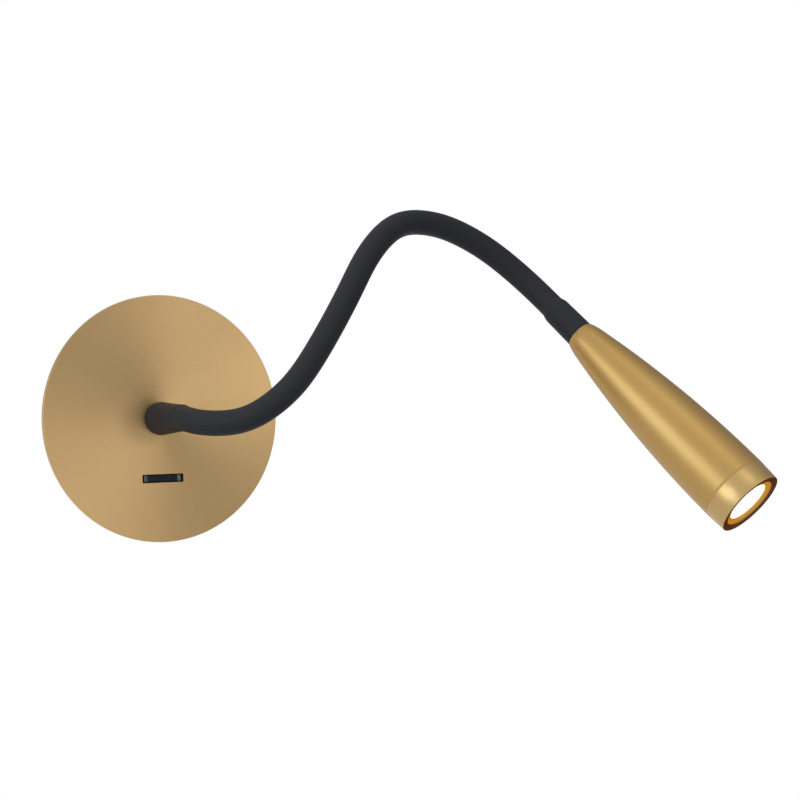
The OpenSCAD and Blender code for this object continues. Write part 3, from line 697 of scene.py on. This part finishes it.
class WALLLIGHT_OT_rocker(PieceOperator, bpy.types.Operator):
    """Rocker bar with a raised rib at each end"""

    bl_idname = "wall_light.rocker"
    bl_label = "Rocker"

    def execute(self, context):
        joint = next(j for j in frame["joints"] if j["name"] == "rocker_tilt")
        pin = np.array(joint["pos_m"]) / MM
        tilt = math.radians(max(abs(v) for v in joint["range_deg"]) / 2)
        c, s = math.cos(tilt), math.sin(tilt)
        outline = [(x * c + y * s, y * c - x * s) for x, y in self.outline()]
        half_height, edge, rib_from, crease = 1.6, 0.12, 7.8, math.radians(35)
        bm = bmesh.new()
        sides = []
        for z in (-half_height, half_height):
            corners = [Vector((pin[0] + x, pin[1] - y, pin[2] + z)) * MM for x, y in outline]
            sides.append([bm.verts.new(corner) for corner in corners])
        bm.faces.new(sides[0])
        bm.faces.new(list(reversed(sides[1])))
        for corners in strip(*sides):
            bm.faces.new(corners)
        bar = new_object("rocker_bar", finish_mesh(mesh_of(bm, "rocker_bar")))
        bevel = bar.modifiers.new("edges", "BEVEL")
        bevel.width = edge * MM
        bevel.segments = 2
        bevel.limit_method = "ANGLE"
        bevel.angle_limit = crease
        grain = fine_grain_group()
        settings = dict(metallic=0.0, bump=0.1, Roughness=0.3, Contrast=0.1, Marks=0.1)
        plastic = grouped_material("rocker plastic", grain, colour("rocker"), specular=0.2, **settings)
        # Lighter plastic for the ribs' tops: painted glints
        wear_and_painted_glint = grouped_material("rib plastic", grain, colour("rib"), specular=0.6, **settings)
        set_material(bar, plastic, wear_and_painted_glint)
        # Rib tops that face out of the plate carry the painted glints
        for face in bar.data.polygons:
            if face.normal.y < -0.7 and abs(face.center.x) > rib_from * MM:
                face.material_index = 1
        dress(bar, "rocker", "rocker_plastic", "rocker")
        return {"FINISHED"}

    def outline(self):
        """The bar seen from above, round its pin: out of the plate is up, before the tilt."""
        play, top, crest, hollow, dip_rise = 1.2, 1.7, 0.2, 0.5, 0.3
        rib, foot, dip_end = 0.7, 1.1, 1.8
        half = (size("slot_width") - play) / 2
        keel = [(1.4, -1.25), (half - 0.6, -0.4), (half, -0.15), (half, top + crest)]
        ribs = [(half - rib, top + crest), (half - foot, top - crest)]
        across = np.linspace(half - dip_end, dip_end - half, 15)
        dip = [(x, top - hollow + dip_rise * (x / half) ** 2) for x in across]
        left_keel, left_ribs = ([(-x, y) for x, y in reversed(side)] for side in (keel, ribs))
        return left_keel + keel + ribs + dip + left_ribs


def sleeve_tree():
    """Geometry nodes: one length of a smooth round tube that follows a line of edges."""
    tree = bpy.data.node_groups.new("sleeve along a line", "GeometryNodeTree")
    inputs = (
        ("Line", "NodeSocketGeometry", None),
        ("Diameter", NUMBER, 0.012),
        ("Sides", "NodeSocketInt", 56),
        ("First ring", "NodeSocketInt", 0),
        ("Last ring", "NodeSocketInt", 10),
        ("Finish", "NodeSocketMaterial", None),
    )
    add_inputs(tree, inputs)
    tree.interface.new_socket(name="Tube", in_out="OUTPUT", socket_type="NodeSocketGeometry")
    entry = tree.nodes.new("NodeGroupInput")
    leave = tree.nodes.new("NodeGroupOutput")
    line = tree.nodes.new("GeometryNodeMeshToCurve")
    circle = tree.nodes.new("GeometryNodeCurvePrimitiveCircle")
    tube = tree.nodes.new("GeometryNodeCurveToMesh")
    index = tree.nodes.new("GeometryNodeInputIndex")
    trim = tree.nodes.new("GeometryNodeDeleteGeometry")
    smooth = tree.nodes.new("GeometryNodeSetShadeSmooth")
    real = tree.nodes.new("GeometryNodeRealizeInstances")
    paint = tree.nodes.new("GeometryNodeSetMaterial")
    trim.domain = "POINT"
    given = entry.outputs
    radius = math_node(tree, "MULTIPLY", given["Diameter"], 0.5)
    counted = math_node(tree, "ADD", index.outputs[0], 0.5)
    ring = math_node(tree, "FLOOR", math_node(tree, "DIVIDE", counted, given["Sides"]))
    before = math_node(tree, "LESS_THAN", ring, given["First ring"])
    after = math_node(tree, "GREATER_THAN", ring, given["Last ring"])
    outside = math_node(tree, "MAXIMUM", before, after)
    for source, socket in (
        (given["Line"], line.inputs["Mesh"]),
        (given["Sides"], circle.inputs["Resolution"]),
        (radius, circle.inputs["Radius"]),
        (line.outputs["Curve"], tube.inputs["Curve"]),
        (circle.outputs["Curve"], tube.inputs["Profile Curve"]),
        (tube.outputs["Mesh"], trim.inputs["Geometry"]),
        (outside, trim.inputs["Selection"]),
        (trim.outputs["Geometry"], smooth.inputs["Geometry"]),
        (smooth.outputs["Geometry"], real.inputs["Geometry"]),
        (real.outputs["Geometry"], paint.inputs["Geometry"]),
        (given["Finish"], paint.inputs["Material"]),
        (paint.outputs["Geometry"], leave.inputs["Tube"]),
    ):
        tree.links.new(source, socket)
    return tree


class WALLLIGHT_OT_arm(PieceOperator, bpy.types.Operator):
    """Rubber sleeve of the arm, in lengths that each run over one joint"""

    bl_idname = "wall_light.arm"
    bl_label = "Arm"

    def execute(self, context):
        tree = sleeve_tree()
        route = smooth_route()
        joints, ways = joint_points(), headings()
        nearest = [int(np.argmin(np.linalg.norm(route - j, axis=1))) for j in joints]
        cuts = [0] + [(a + b) // 2 for a, b in zip(nearest, nearest[1:])] + [len(route) - 1]
        for k in range(LINKS + 1):
            name = f"arm_{k + 1}"
            sleeve = new_object(name, self.length_mesh(context, name, tree, route, cuts[k], cuts[k + 1]))
            set_material(sleeve, rubber_material())
            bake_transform(sleeve)
            if k:
                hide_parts(f"sleeve_{k}")
        return {"FINISHED"}

    def length_mesh(self, context, name, tree, route, first, last):
        """One length of the tube along the whole route, with its wall, as a plain mesh."""
        line_mesh = bpy.data.meshes.new("line")
        edges = [(i, i + 1) for i in range(len(route) - 1)]
        line_mesh.from_pydata([Vector(v) * MM for v in route], edges, [])
        line = new_object("line", line_mesh)
        tube = line.modifiers.new("tube", "NODES")
        tube.node_group = tree
        sockets = {s.name: s.identifier for s in tree.interface.items_tree if s.in_out == "INPUT"}
        values = {"First ring": first, "Last ring": last, "Finish": rubber_material()}
        values["Diameter"] = size("arm_diameter") * MM
        for label, value in values.items():
            tube[sockets[label]] = value
        wall = line.modifiers.new("wall", "SOLIDIFY")
        wall.thickness = size("sleeve_wall") * MM
        wall.offset = -1
        mesh = bpy.data.meshes.new_from_object(line.evaluated_get(context.evaluated_depsgraph_get()))
        bpy.data.objects.remove(line)
        mesh.name = name
        return finish_mesh(mesh)


class WALLLIGHT_OT_collars(PieceOperator, bpy.types.Operator):
    """Moulded rubber collars at both ends of the arm"""

    bl_idname = "wall_light.collars"
    bl_label = "Collars"

    def execute(self, context):
        arm = size("arm_diameter") / 2
        on_plate = out_of_wall(out=size("plate_front"))
        for name, profile, place, body, node in (
            ("collar_base", self.base_profile(arm), on_plate, "base", "base_collar"),
            ("collar_head", self.head_profile(arm), along_head(), "head", "head_collar"),
        ):
            collar = new_object(name, turned_mesh(name, profile, place, steps=96))
            set_material(collar, rubber_material())
            dress(collar, body, "black_rubber", node)
        return {"FINISHED"}

    def base_profile(self, arm):
        root, tip = size("base_collar_root") / 2, size("base_collar_tip") / 2
        length = size("base_collar_length")
        foot, waist, step_length, sunk, end = 0.5, 0.1, 2.9, 0.25, length + 1.2
        wide, wide_from, recess, recess_depth = 5.2, 5, 7.1, 2.1
        step_from = length - step_length
        outer = [(root - 0.45, 0), (root - 0.15, 0.12), (root, foot)]
        for t in np.linspace(0.05, 1, 12):
            sag = waist * math.sin(math.pi * t)
            outer.append((root + (tip - root) * t - sag, foot + (step_from - foot) * t))
        outer += eased_step(tip, arm - sunk, step_from, end)[1:]
        inner = arm - size("sleeve_wall")
        bore = [(inner, end), (inner, length - wide_from), (wide, length - wide_from - 1)]
        return outer + bore + [(wide, recess_depth + 0.1), (recess, recess_depth), (recess, 0)]

    def head_profile(self, arm):
        tip, root = size("head_collar_tip") / 2, size("head_collar_root") / 2
        length = size("head_collar_length")
        start, step_end, wide, wide_from, edge = 6.2, 11.2, 5.2, 13, 0.2
        outer = eased_step(arm - edge, tip, start, step_end)
        cone = length - 0.3 - step_end
        outer += [(tip + (root - tip) * t, step_end + cone * t) for t in (0.35, 0.7, 1.0)]
        inner = arm - size("sleeve_wall")
        bore = [(wide, length), (wide, wide_from), (inner, wide_from - 0.4), (inner, start)]
        return outer + [(root - edge, length)] + bore


def circle_meet(p, p_radius, q, q_radius):
    """Point where two circles meet, to the left of the way from the first centre to the second."""
    gap = np.linalg.norm(q - p)
    along = (gap**2 + p_radius**2 - q_radius**2) / (2 * gap)
    across = math.sqrt(p_radius**2 - along**2)
    u = (q - p) / gap
    return p + along * u + across * np.array([-u[1], u[0]])


def shell_outline(inset=0.0, steps=70):
    """The shell's side as (radius, distance) in mm: a shoulder that runs into one long arc."""
    back_radius, side, shoulder = size("head_back") / 2, size("head_side"), size("head_shoulder")
    widest = np.array([size("head_widest_at"), size("head_widest") / 2])
    rise = np.array([0.0, back_radius + size("shoulder_rise")])
    centre = circle_meet(widest, side, rise, side)
    hub = circle_meet(np.array([0.0, back_radius]), shoulder, centre, side - shoulder)
    meet = centre + (hub - centre) / np.linalg.norm(hub - centre) * side
    end = size("head_length") - size("ring_length")
    points = []
    for x in np.r_[np.linspace(0, meet[0], 14), np.linspace(meet[0], end, steps)[1:]]:
        around, radius = (hub, shoulder) if x < meet[0] else (centre, side)
        points.append((around[1] + math.sqrt((radius - inset) ** 2 - (x - around[0]) ** 2), x))
    return points


class WALLLIGHT_OT_head(PieceOperator, bpy.types.Operator):
    """Tapered head shell, its front ring, bezel and lit lens"""

    bl_idname = "wall_light.head"
    bl_label = "Head"

    def execute(self, context):
        place = along_head(size("head_collar_length"))
        self.shell(place)
        self.ring(place)
        self.bezel(place)
        self.lens(place)
        return {"FINISHED"}

    def seam(self):
        """Radius and distance of the seam between the shell and the ring."""
        return shell_outline()[-1]

    def shell(self, place):
        radius, end = self.seam()
        bore, back, hole, back_wall = radius - size("head_wall"), size("head_back") / 2, 4.05, 3.0
        fillet, lip = 0.25, 0.4
        outer = [q for q in shell_outline() if fillet < q[1] < end - lip]
        inside = reversed(shell_outline(size("head_wall")))
        inner = [q for q in inside if back_wall < q[1] < end - 1 and q[0] < bore]
        profile = [(hole, 0.0), (back - 0.3, 0.0), (back - 0.08, 0.08)] + outer
        profile += [(radius, end - 0.05), (radius - 0.02, end - 0.015), (radius - 0.045, end)]
        profile += [(bore, end)] + inner + [(hole, back_wall)]
        shell = new_object("head_body", turned_mesh("head_body", profile, place, steps=192))
        set_material(shell, brass("head brass", colour("head"), place))
        dress(shell, "head", "satin_gold", "head_shell")

    def ring(self, place):
        radius, end = self.seam()
        front, mouth, rim = size("head_length"), size("mouth") / 2, size("ring_front") / 2
        dished = front - size("rim_dish")
        bore, thread = radius - size("head_wall") - SLIP, end - 8
        profile = [(bore, thread), (bore, end), (radius - 0.06, end)]
        profile += [(radius - 0.03, end + 0.02), (radius, end + 0.08)]
        profile += rounded((rim, front), (rim + 0.2, end), (mouth, dished), radius=0.5, steps=6)
        profile += rounded((mouth, dished), (rim, front), (mouth, end), radius=0.15, steps=3)
        profile.append((mouth, thread))
        ring = new_object("head_ring", turned_mesh("head_ring", profile, place, steps=192))
        set_material(ring, brass("ring brass", colour("ring"), place, Roughness=0.32), rim_painted_shade(place))
        axis, origin = place.to_3x3() @ Vector((0, 0, 1)), place.translation * MM
        # Faces round the mouth that look forward get the rim's painted shade
        rim_from, facing = (dished - 0.1) * MM, 0.8
        for face in ring.data.polygons:
            if face.normal.dot(axis) > facing and (face.center - origin).dot(axis) > rim_from:
                face.material_index = 1
        dress(ring, "head", "satin_gold", "front_ring")

    def bezel(self, place):
        front = size("head_length")
        seat, edge = front - size("lens_depth"), front - size("rim_dish") - 0.25
        inner, outer = size("lens_shown") / 2, size("mouth") / 2 - SLIP
        profile = [(inner, seat), (outer, seat), (outer, edge), (outer - 0.3, edge + 0.05)]
        profile += [(inner + 0.12, seat + 0.4), (inner, seat + 0.25)]
        bezel = new_object("bezel", turned_mesh("bezel", profile, place))
        settings = dict(Roughness=0.3, Contrast=0.12, edge=(0.85, 0.55, 0.27))
        set_material(bezel, brass("bezel brass", colour("bezel"), place, **settings))
        dress(bezel, "head", "bright_gold", "bezel_ring")

    def lens(self, place):
        crown, gap = 0.35, 0.02
        face = size("head_length") - size("lens_depth")
        back = face - 3
        shown, edge = size("lens_shown") / 2 - SLIP, size("mouth") / 2 - SLIP
        arc = np.linspace(0, math.pi / 2, 8)[:-1]
        dome = [(shown * math.cos(a), face + crown * math.sin(a)) for a in arc] + [(0, face + crown)]
        profile = [(0, back), (edge, back), (edge, face - gap), (shown, face - gap)] + dome
        lens = new_object("lit_lens", turned_mesh("lit_lens", profile, place, steps=96))
        set_material(lens, lit_material(place))
        dress(lens, "head", "diffuser", "lens")


class WALLLIGHT_OT_hidden_parts(PieceOperator, bpy.types.Operator):
    """Finishes for the CAD parts that keep their own shape"""

    bl_idname = "wall_light.hidden_parts"
    bl_label = "Other parts"

    def execute(self, context):
        slots = {s["node"]: s["material_slot"] for s in frame["record"]["subparts"]}
        # Painted shade: the switch pin, seen through the gaps round the rocker, is coloured near black like the
        # dark inside of the slot
        tint = (0.01, 0.01, 0.012)
        pin_painted_dark = grouped_material("blackened steel", fine_grain_group(), tint, metallic=0.0, bump=0.1)
        for name, obj in frame["nodes"].items():
            if not obj.hide_render:
                set_material(obj, pin_painted_dark if name == "switch_pin" else material_of(slots[name]))
        return {"FINISHED"}


class WALLLIGHT_OT_studio(PieceOperator, bpy.types.Operator):
    """Camera, soft lights, pale floor and white surroundings"""

    bl_idname = "wall_light.studio"
    bl_label = "Studio"

    def execute(self, context):
        scene = context.scene
        scene.view_settings.view_transform = "Standard"
        self.camera(scene)
        self.surroundings(scene)
        self.floor()
        cool, left, above = (0.87, 1.0, 1.28), (-1.02, -0.37, 0.27), (0.19, -0.66, 1.08)
        self.lamp("left", left, width=0.85, height=0.65, power=3.25, tint=cool)
        self.lamp("top", above, width=0.5, height=0.5, power=0.55)
        return {"FINISHED"}

    def lamp(self, name, place, width, height, power, tint=(1, 1, 1)):
        """A soft lamp that points at the middle of the arm."""
        aim = Vector((0.25, -0.20, -0.03))
        light = bpy.data.lights.new(name, "AREA")
        light.shape = "RECTANGLE"
        light.size = width
        light.size_y = height
        light.energy = power
        light.color = tint
        lamp = new_object(name, light)
        lamp.location = place
        lamp.rotation_euler = (aim - Vector(place)).to_track_quat("-Z", "Y").to_euler()

    def camera(self, scene):
        """Stands where the photo was taken from, and is turned as the photo's camera was."""
        away, swing = 1.3, math.radians(20.15)
        yaw, pitch, roll = math.radians(25.268), math.radians(0.253), math.radians(1.63)
        pixels_per_mm, sensor, image_width = 1 / 0.4874, 36, 800
        data = bpy.data.cameras.new("camera")
        data.sensor_width = sensor
        data.lens = sensor * (away / MM * pixels_per_mm) / image_width
        data.clip_start = 0.05
        data.clip_end = 50
        look = Vector((math.sin(yaw) * math.cos(pitch), math.cos(yaw) * math.cos(pitch), math.sin(pitch)))
        level = Vector((math.cos(yaw), -math.sin(yaw), 0))
        up = level.cross(look)
        right = level * math.cos(roll) - up * math.sin(roll)
        above = level * math.sin(roll) + up * math.cos(roll)
        camera = new_object("camera", data)
        turn = Matrix((right, above, -look)).transposed().to_4x4()
        front = size("plate_front") * MM
        spot = Vector((-away * math.sin(swing), -front - away * math.cos(swing), 0))
        camera.matrix_world = Matrix.Translation(spot) @ turn
        scene.camera = camera

    def surroundings(self, scene):
        """White to the camera, soft light from the upper left, and a dimmer side in reflections."""
        world = bpy.data.worlds.new("surroundings")
        scene.world = world
        world.use_nodes = True
        tree = world.node_tree
        tree.nodes.clear()
        output = tree.nodes.new("ShaderNodeOutputWorld")
        rays = tree.nodes.new("ShaderNodeLightPath").outputs
        light = tree.nodes.new("ShaderNodeBackground")
        set_inputs(light, {"Color": (1, 1, 1, 1)})
        to_dim_side, to_upper_left = (0.76, 0.61, 0.2), (-0.5, -0.35, 0.79)
        dim_side = self.share_of_way(tree, to_dim_side)
        mirrored = map_range(tree, dim_side, low=0.0, high=1.1, to_low=0.97, to_high=0.35)
        upper_left = self.share_of_way(tree, to_upper_left)
        soft = map_range(tree, upper_left, low=-0.1, high=0.8, to_low=0.03, to_high=1.9)
        seen = math_node(tree, "MAXIMUM", rays["Is Camera Ray"], rays["Is Transmission Ray"])
        level = mix_colour(tree, rays["Is Glossy Ray"], soft, mirrored)
        tree.links.new(mix_colour(tree, seen, level, (1, 1, 1, 1)), light.inputs["Strength"])
        tree.links.new(light.outputs[0], output.inputs["Surface"])

    def share_of_way(self, tree, axis):
        """How far the direction looked in runs along an axis, from -1 to 1."""
        node = tree.nodes.new("ShaderNodeVectorMath")
        node.operation = "DOT_PRODUCT"
        way = tree.nodes.new("ShaderNodeTexCoord").outputs["Generated"]
        tree.links.new(way, node.inputs[0])
        node.inputs[1].default_value = axis
        return node.outputs["Value"]

    def floor(self):
        """A pale disc that the camera and reflections see as nearly white, with the object's shadow."""
        level, glow_share, grey = -0.6, 0.94, (0.5, 0.5, 0.5, 1)
        bm = bmesh.new()
        bmesh.ops.create_circle(bm, cap_ends=True, segments=64, radius=2.5)
        bmesh.ops.translate(bm, verts=bm.verts, vec=(0, 0, level))
        floor = new_object("floor", mesh_of(bm, "floor"))
        material, tree, shader = blank_material("floor")
        output = node_of_type(tree, "OUTPUT_MATERIAL")
        rays = tree.nodes.new("ShaderNodeLightPath").outputs
        glow = tree.nodes.new("ShaderNodeEmission")
        mix = tree.nodes.new("ShaderNodeMixShader")
        set_inputs(glow, {"Strength": 1.0})
        set_inputs(shader, {"Base Color": grey, "Roughness": 0.8})
        sight = math_node(tree, "MAXIMUM", rays["Is Camera Ray"], rays["Is Glossy Ray"])
        sight = math_node(tree, "MAXIMUM", sight, rays["Is Transmission Ray"])
        tree.links.new(math_node(tree, "MULTIPLY", sight, glow_share), mix.inputs[0])
        tree.links.new(shader.outputs[0], mix.inputs[1])
        tree.links.new(glow.outputs[0], mix.inputs[2])
        tree.links.new(mix.outputs[0], output.inputs["Surface"])
        set_material(floor, material)


class WALLLIGHT_PT_panel(bpy.types.Panel):
    bl_label = "Wall light"
    bl_idname = "WALLLIGHT_PT_panel"
    bl_space_type = "VIEW_3D"
    bl_region_type = "UI"
    bl_category = "Wall light"

    def draw(self, context):
        layout = self.layout
        for group in (context.scene.wall_light_sizes, context.scene.wall_light_colours):
            box = layout.box()
            for name in group.__annotations__:
                box.prop(group, name)
        for operator in OPERATORS:
            layout.operator(operator.bl_idname)


OPERATORS = (
    WALLLIGHT_OT_studio,
    WALLLIGHT_OT_plate,
    WALLLIGHT_OT_rocker,
    WALLLIGHT_OT_arm,
    WALLLIGHT_OT_collars,
    WALLLIGHT_OT_head,
    WALLLIGHT_OT_hidden_parts,
)
CLASSES = (WallLightSizes, WallLightColours, *OPERATORS, WALLLIGHT_PT_panel)


def register():
    for cls in CLASSES:
        bpy.utils.register_class(cls)
    bpy.types.Scene.wall_light_sizes = bpy.props.PointerProperty(type=WallLightSizes)
    bpy.types.Scene.wall_light_colours = bpy.props.PointerProperty(type=WallLightColours)


def unregister():
    del bpy.types.Scene.wall_light_sizes
    del bpy.types.Scene.wall_light_colours
    for cls in reversed(CLASSES):
        bpy.utils.unregister_class(cls)


def main():
    register()
    for operator in OPERATORS:
        area, name = operator.bl_idname.split(".")
        getattr(getattr(bpy.ops, area), name)()


if __name__ == "__main__":
    main()
